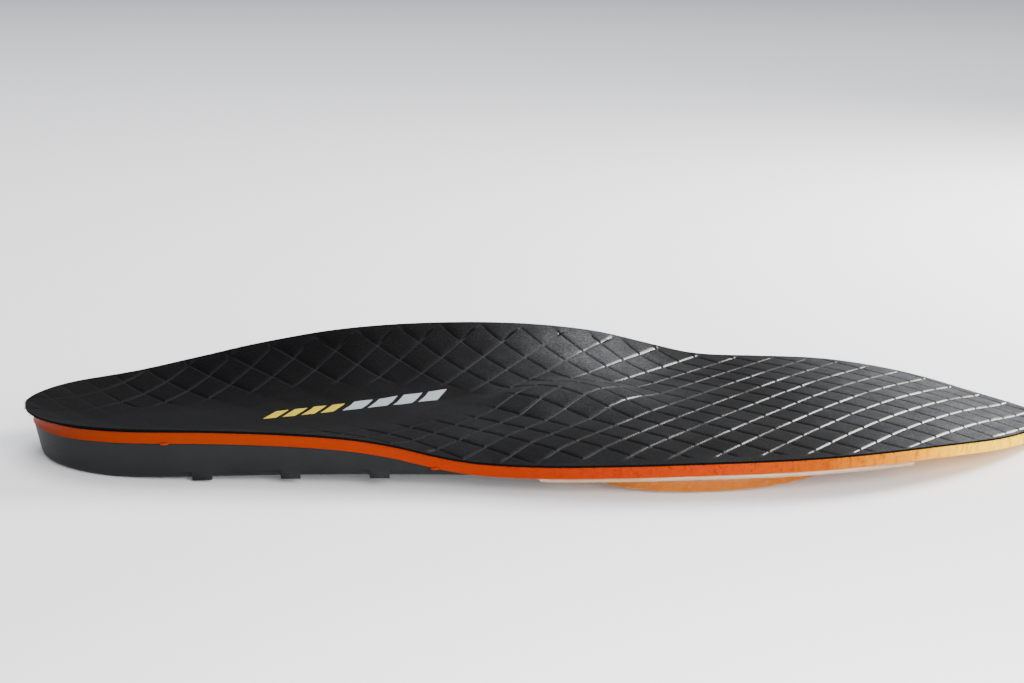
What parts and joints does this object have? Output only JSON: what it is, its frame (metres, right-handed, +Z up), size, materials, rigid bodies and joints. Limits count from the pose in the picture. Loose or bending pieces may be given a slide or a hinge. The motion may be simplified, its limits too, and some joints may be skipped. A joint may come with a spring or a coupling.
{
  "type": "cushioned insole",
  "caption": "Right-foot cushioned insole: black grooved fabric on orange foam, dark grey heel and arch shell, clear carrier and amber gel pad under the forefoot",
  "frame": {"origin": "on the table, under the middle of the box round the insole", "axes": "+X along the foot from heel to toe, +Y from the outer side to the inner (arch) side, +Z up"},
  "size_m": [0.284, 0.0953, 0.027],
  "materials": {
    "cover_fabric": "short brushed nap, pressed with a diagonal grid of grooves",
    "pad_foam": "soft foam, hidden",
    "orange_foam": "fine-celled polyurethane foam, matte, amber towards the toe",
    "shell_foam": "moulded, satin",
    "amber_gel": "translucent gel, smooth",
    "clear_carrier": "clear, pale, smooth",
    "yellow_print": "heat-transfer print",
    "grey_print": "heat-transfer print"
  },
  "bodies": {
    "root": {"top_cover": "cover_fabric", "metatarsal_pad": "pad_foam", "foam_layer": "orange_foam", "support_shell": "shell_foam", "heel_gel_pad": "amber_gel", "gel_carrier": "clear_carrier", "forefoot_gel_pad": "amber_gel", "heel_print_yellow": "yellow_print", "heel_print_grey": "grey_print"}
  },
  "joints": []
}
